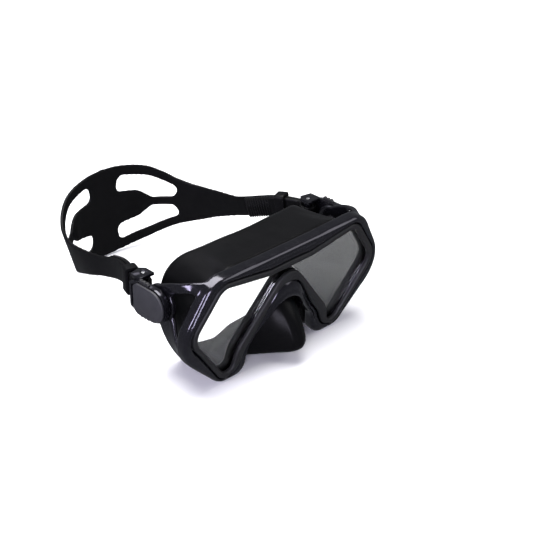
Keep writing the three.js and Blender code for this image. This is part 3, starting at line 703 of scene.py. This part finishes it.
def bend(flat):
    """Takes points of the flat strap (along, across, off) to where the strap lies."""
    along, across, off = np.asarray(flat, float).T
    s = np.abs(along)
    p, out, up = (along_strap(t, s) for t in (centre, outward, upward))
    twist = LEAN * smoothstep(s, *LEAN_STARTS) * (1 - smoothstep(s, *LEAN_ENDS))
    lean = np.where(along < 0, twist, 0)[:, None]
    p = p - out * np.sin(lean) * half_height(s)[:, None]
    up, out = up * np.cos(lean) + out * np.sin(lean), out * np.cos(lean) - up * np.sin(lean)
    p = p + up * across[:, None] + out * off[:, None]
    p[:, 0] *= np.where(along < 0, -1, 1)
    return p


def plate(loops, low, high):
    """A flat plate with holes: the first loop is its outline."""
    loops = [[Vector((x, y, 0)) for x, y in loop] for loop in loops]
    flat = [p for loop in loops for p in loop]
    count = len(flat)
    faces = []
    for tri in tessellate_polygon(loops):
        faces += [tuple(tri), tuple(count + i for i in reversed(tri))]
    start = 0
    for loop in loops:
        for i in range(len(loop)):
            a, b = start + i, start + (i + 1) % len(loop)
            faces.append((a, b, count + b, count + a))
        start += len(loop)
    return [Vector((p.x, p.y, z)) for z in (low, high) for p in flat], faces


edge = np.arange(-strap_end, strap_end + 1, OUTLINE_STEP)
height = half_height(np.abs(edge))
outline = [*zip(edge, height), *zip(edge[::-1], -height[::-1])]
hole = [(p.x, p.y) for p in rounded(PAD_OPENING, OPENING_ARC_STEPS, OPENING_EDGE_STEPS)]
holes = [[(side * x, level * y) for x, y in hole] for side in (1, -1) for level in (1, -1)]
strap = build("strap_moulding", *plate([outline, *holes], -STRAP_THICK / 2, STRAP_THICK / 2))
settle(strap, REMESH={"mode": "VOXEL", "voxel_size": STRAP_VOXEL * MM},
       SMOOTH={"factor": 0.5, "iterations": 2})


def lay(made, unit):
    """Bends a flat piece, whose own unit and origin are given, to where the strap lies."""
    places = np.empty(len(made.data.vertices) * 3)
    made.data.vertices.foreach_get("co", places)
    flat = places.reshape(-1, 3) / unit - (np.array(SHIFT) if unit == MM else 0)
    made.data.vertices.foreach_set("co", ((bend(flat) + np.array(SHIFT)) * MM).ravel())
    shell = bmesh.new()
    shell.from_mesh(made.data)
    bmesh.ops.recalc_face_normals(shell, faces=shell.faces)
    shell.to_mesh(made.data)
    shell.free()
    made.data.shade_smooth()


lay(strap, MM)

RIB_PITCH = 2.0
RIB_RADIUS = 0.55
RIB_PROUD = 0.3
RIB_OVERHANG = 0.25
RIB_SIDES = 12
# The ribs start behind the keeper's travel, measured from the roller.
RIBS_START = {"left": 32, "right": 25}
RIBS_END = 2


def rib_row():
    """A Geometry Nodes tree that repeats one half-sunk rib along X, and its inputs by name."""
    tree = bpy.data.node_groups.new("rib_row", "GeometryNodeTree")
    tree.interface.new_socket("Geometry", in_out="OUTPUT", socket_type="NodeSocketGeometry")
    kinds = {"Count": "Int", "Start": "Vector", "Pitch": "Vector", "Radius": "Float",
             "Length": "Float", "Material": "Material"}
    keys = {}
    for name, kind in kinds.items():
        socket = tree.interface.new_socket(name, in_out="INPUT", socket_type="NodeSocket" + kind)
        keys[name] = socket.identifier
    given = add(tree, "NodeGroupInput").outputs
    line = add(tree, "GeometryNodeMeshLine", {
        "Count": given["Count"],
        "Start Location": given["Start"],
        "Offset": given["Pitch"],
    })
    rib = add(tree, "GeometryNodeMeshCylinder", {
        "Vertices": RIB_SIDES,
        "Radius": given["Radius"],
        "Depth": given["Length"],
    })
    row = add(tree, "GeometryNodeInstanceOnPoints", {
        "Points": line.outputs["Mesh"],
        "Instance": rib.outputs["Mesh"],
        "Rotation": (math.pi / 2, 0, 0),
    })
    solid = add(tree, "GeometryNodeRealizeInstances", {"Geometry": row.outputs["Instances"]})
    painted = add(tree, "GeometryNodeSetMaterial", {
        "Geometry": solid.outputs["Geometry"],
        "Material": given["Material"],
    })
    add(tree, "NodeGroupOutput", {"Geometry": painted.outputs["Geometry"]})
    return tree, keys


band, nodes = material("satin_strap_silicone")
# The same silicone from a finer mould, 60 Shore A: a little more even than the skirt, with soft
# handling marks.
coordinates = add(nodes, "ShaderNodeTexCoord")
cloud = noise(nodes, coordinates, 60.0, 4.0)
grain = noise(nodes, coordinates, 1700.0, 2.0)
surface(nodes, {
    "Base Color": blended(nodes, cloud, "#09090a", "#0f0f10"),
    "Roughness": spread(nodes, cloud, (0.35, 0.65), (0.3, 0.4)),
    "IOR": 1.41,
    "Specular IOR Level": 0.1,
    "Normal": raised(nodes, grain, 0.12, 0.00005),
})
finish(strap, band, "strap_silicone", "strap", "strap")

rib_tree, rib_keys = rib_row()
for side, sign in (("left", 1), ("right", -1)):
    first_rib = arm_length + turn_length + RIBS_START[side]
    rib_count = int((strap_end - RIBS_END - first_rib) / RIB_PITCH) + 1
    ribs = bpy.data.objects.new(f"{side}_tail_ribs", bpy.data.meshes.new(f"{side}_tail_ribs"))
    bpy.context.scene.collection.objects.link(ribs)
    modifier = ribs.modifiers.new("ribs", "NODES")
    modifier.node_group = rib_tree
    values = {
        "Count": rib_count,
        "Radius": RIB_RADIUS,
        "Length": 2 * (BAND_HALF + RIB_OVERHANG),
        "Material": band,
        "Start": (sign * first_rib, 0, STRAP_THICK / 2 + RIB_PROUD - RIB_RADIUS),
        "Pitch": (sign * RIB_PITCH, 0, 0),
    }
    for name, value in values.items():
        modifier[rib_keys[name]] = value
    settle(ribs)
    lay(ribs, 1)
    finish(ribs, band, "strap_silicone", "strap")


# ---------------------------------------------------------------- buckles
# Each side has a snap-together swivel buckle: a tray with two cheeks that carry the strap roller,
# a satin cover plate, two ribbed release buttons over a coil spring, and a soft keeper loop.
SAME_FACE = math.radians(1)
BEVEL_ANGLE = math.radians(35)
SHARP_ANGLE = math.radians(38)
WELD = 0.005


def copy_of(node, name, body, look, slot, bevel):
    """A smooth, fine-edged piece from a CAD node's own solid."""
    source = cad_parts[node].data
    shell = bmesh.new()
    shell.from_mesh(source)
    bmesh.ops.remove_doubles(shell, verts=shell.verts, dist=WELD * MM)
    bmesh.ops.dissolve_limit(shell, angle_limit=SAME_FACE, verts=shell.verts, edges=shell.edges)
    mesh = bpy.data.meshes.new(name)
    shell.to_mesh(mesh)
    shell.free()
    made = bpy.data.objects.new(name, mesh)
    bpy.context.scene.collection.objects.link(made)
    if bevel:
        settle(made, BEVEL={
            "width": bevel * MM,
            "segments": 3,
            "limit_method": "ANGLE",
            "angle_limit": BEVEL_ANGLE,
            "use_clamp_overlap": True,
        })
    made.data.shade_smooth()
    made.data.set_sharp_from_angle(angle=SHARP_ANGLE)
    return finish(made, look, slot, body, node)


cover_look, nodes = material("satin_cover_abs")
# Dark blue-grey ABS with a fine etched satin: it takes light evenly, with a faint cloudy sheen
# where fingers rub it.
coordinates = add(nodes, "ShaderNodeTexCoord")
cloud = noise(nodes, coordinates, 130.0, 4.0)
grain = noise(nodes, coordinates, 2400.0, 2.0)
surface(nodes, {
    "Base Color": blended(nodes, cloud, "#1f1f23", "#26262a"),
    "Roughness": spread(nodes, cloud, (0.3, 0.7), (0.44, 0.52)),
    "IOR": 1.53,
    "Normal": raised(nodes, grain, 0.3, 0.00006),
})

steel, nodes = material("turned_stainless_steel")
# A4 stainless bar, turned: a bright metal with fine rings left by the tool, 0.2 mm apart, drawn
# at 0.5 mm so that they show.
coordinates = add(nodes, "ShaderNodeTexCoord")
tool_marks = add(nodes, "ShaderNodeTexWave", {
    "Vector": coordinates.outputs["Object"],
    "Scale": 320.0,
    "Distortion": 0.4,
}, wave_type="BANDS", bands_direction="X").outputs["Fac"]
surface(nodes, {
    "Base Color": linear("#c9c9cb"),
    "Metallic": 1.0,
    "Roughness": spread(nodes, tool_marks, (0.0, 1.0), (0.22, 0.36)),
    "Normal": raised(nodes, tool_marks, 0.2, 0.00004),
})


def half_spring(side, level, way):
    """Half of the coil spring, which closes up to its middle as the button on that side goes in."""
    node = f"{side}_button_spring"
    low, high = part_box(node)
    middle = (low + high) / 2
    made = copy_of(node, f"{side}_{level}_spring", f"{side}_buckle", steel, "stainless_steel", 0.0)
    shell = bmesh.new()
    shell.from_mesh(made.data)
    everything = [*shell.verts, *shell.edges, *shell.faces]
    cut = bmesh.ops.bisect_plane(shell, geom=everything, plane_co=middle, plane_no=(0, 0, way),
                                 clear_inner=True)
    cut_edges = [e for e in cut["geom_cut"] if isinstance(e, bmesh.types.BMEdge)]
    bmesh.ops.edgenet_fill(shell, edges=cut_edges)
    shell.to_mesh(made.data)
    shell.free()
    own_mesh(made)


# Each call gives the CAD node, the piece's own name, its body, look, slot and bevel in mm.
for side in ("left", "right"):
    buckle = f"{side}_buckle"
    copy_of(f"{side}_pivot_pin", f"{side}_pin", "frame_body", steel, "stainless_steel", 0.15)
    copy_of(f"{side}_pivot_washer", f"{side}_washer", "frame_body", satin, "bezel_plastic", 0.1)
    copy_of(f"{side}_buckle_base", f"{side}_tray", buckle, gloss, "frame_plastic", 0.25)
    copy_of(f"{side}_buckle_cover", f"{side}_cover", buckle, cover_look, "cover_plastic", 0.0)
    copy_of(f"{side}_strap_roller", f"{side}_roller_sleeve", f"{side}_roller", gloss, "frame_plastic", 0.0)
    copy_of(f"{side}_roller_axle", f"{side}_axle", buckle, steel, "stainless_steel", 0.15)
    copy_of(f"{side}_strap_keeper", f"{side}_keeper_loop", f"{side}_keeper", band, "strap_silicone", 0.4)
    for level in ("upper", "lower"):
        copy_of(f"{side}_release_button_{level}", f"{side}_{level}_press",
                f"{side}_{level}_button", satin, "bezel_plastic", 0.2)
        half_spring(side, level, 1 if level == "upper" else -1)


# ---------------------------------------------------------------- stage
# A plain pale floor that runs past the view, soft boxes, and the camera.
FLOOR_HALF = 6.0
WORLD_STRENGTH = 0.22
VIEW_AZIMUTH, VIEW_ELEVATION, VIEW_DISTANCE = math.radians(-44), math.radians(29.5), 955
VIEW_RIGHT, VIEW_UP = -13, 17
LENS_LENGTH, SENSOR_WIDTH = 100, 36

floor_look, nodes = material("pale_floor")
surface(nodes, {"Base Color": linear("#f4f4f4"), "Roughness": 0.9, "Specular IOR Level": 0.1})
floor_mesh = bpy.data.meshes.new("floor")
corners = [(x * FLOOR_HALF, y * FLOOR_HALF, 0) for x, y in ((-1, -1), (1, -1), (1, 1), (-1, 1))]
floor_mesh.from_pydata(corners, [], [(0, 1, 2, 3)])
floor_mesh.materials.append(floor_look)
floor = bpy.data.objects.new("floor", floor_mesh)
bpy.context.scene.collection.objects.link(floor)
floor.visible_glossy = False

world = bpy.data.worlds.new("studio")
bpy.context.scene.world = world
world.use_nodes = True
sky = world.node_tree.nodes["Background"]
sky.inputs["Color"].default_value = linear("#e8ebf2")
sky.inputs["Strength"].default_value = WORLD_STRENGTH


def soft_box(name, place, size, power, colour="#ffffff", target=(0, -0.04, 0.04)):
    """A rectangular lamp at a place, in metres and watts, turned to the mask."""
    light = bpy.data.lights.new(name, "AREA")
    light.shape = "RECTANGLE"
    light.size, light.size_y = size
    light.energy = power
    light.color = linear(colour)[:3]
    made = bpy.data.objects.new(name, light)
    made.location = place
    made.rotation_euler = (Vector(target) - Vector(place)).to_track_quat("-Z", "Y").to_euler()
    bpy.context.scene.collection.objects.link(made)


soft_box("top_box", (0.0, 0.2, 1.6), (1.6, 1.2), 60)
soft_box("side_strip", (-1.0, -0.95, 0.5), (0.36, 0.9), 17, "#ece8ff")
soft_box("left_box", (-1.25, 0.12, 0.48), (0.3, 0.45), 9, "#eae5ff")
soft_box("front_fill", (0.95, -0.85, 0.95), (0.9, 0.6), 4)
soft_box("rear_strip", (0.35, 1.3, 1.0), (0.9, 0.25), 1.2, "#f2efff")
bpy.context.scene.view_settings.view_transform = "Standard"

camera = bpy.data.objects.new("camera", bpy.data.cameras.new("camera"))
camera.data.lens = LENS_LENGTH
camera.data.sensor_width = SENSOR_WIDTH
level_part = math.cos(VIEW_ELEVATION)
back = Vector((
    math.sin(VIEW_AZIMUTH) * level_part,
    -math.cos(VIEW_AZIMUTH) * level_part,
    math.sin(VIEW_ELEVATION),
))
right = Vector((math.cos(VIEW_AZIMUTH), math.sin(VIEW_AZIMUTH), 0))
upright = back.cross(right)
stand = right * VIEW_RIGHT + upright * VIEW_UP + back * VIEW_DISTANCE
camera.location = (stand + SHIFT) * MM
camera.rotation_euler = back.to_track_quat("Z", "Y").to_euler()
bpy.context.scene.collection.objects.link(camera)
bpy.context.scene.camera = camera
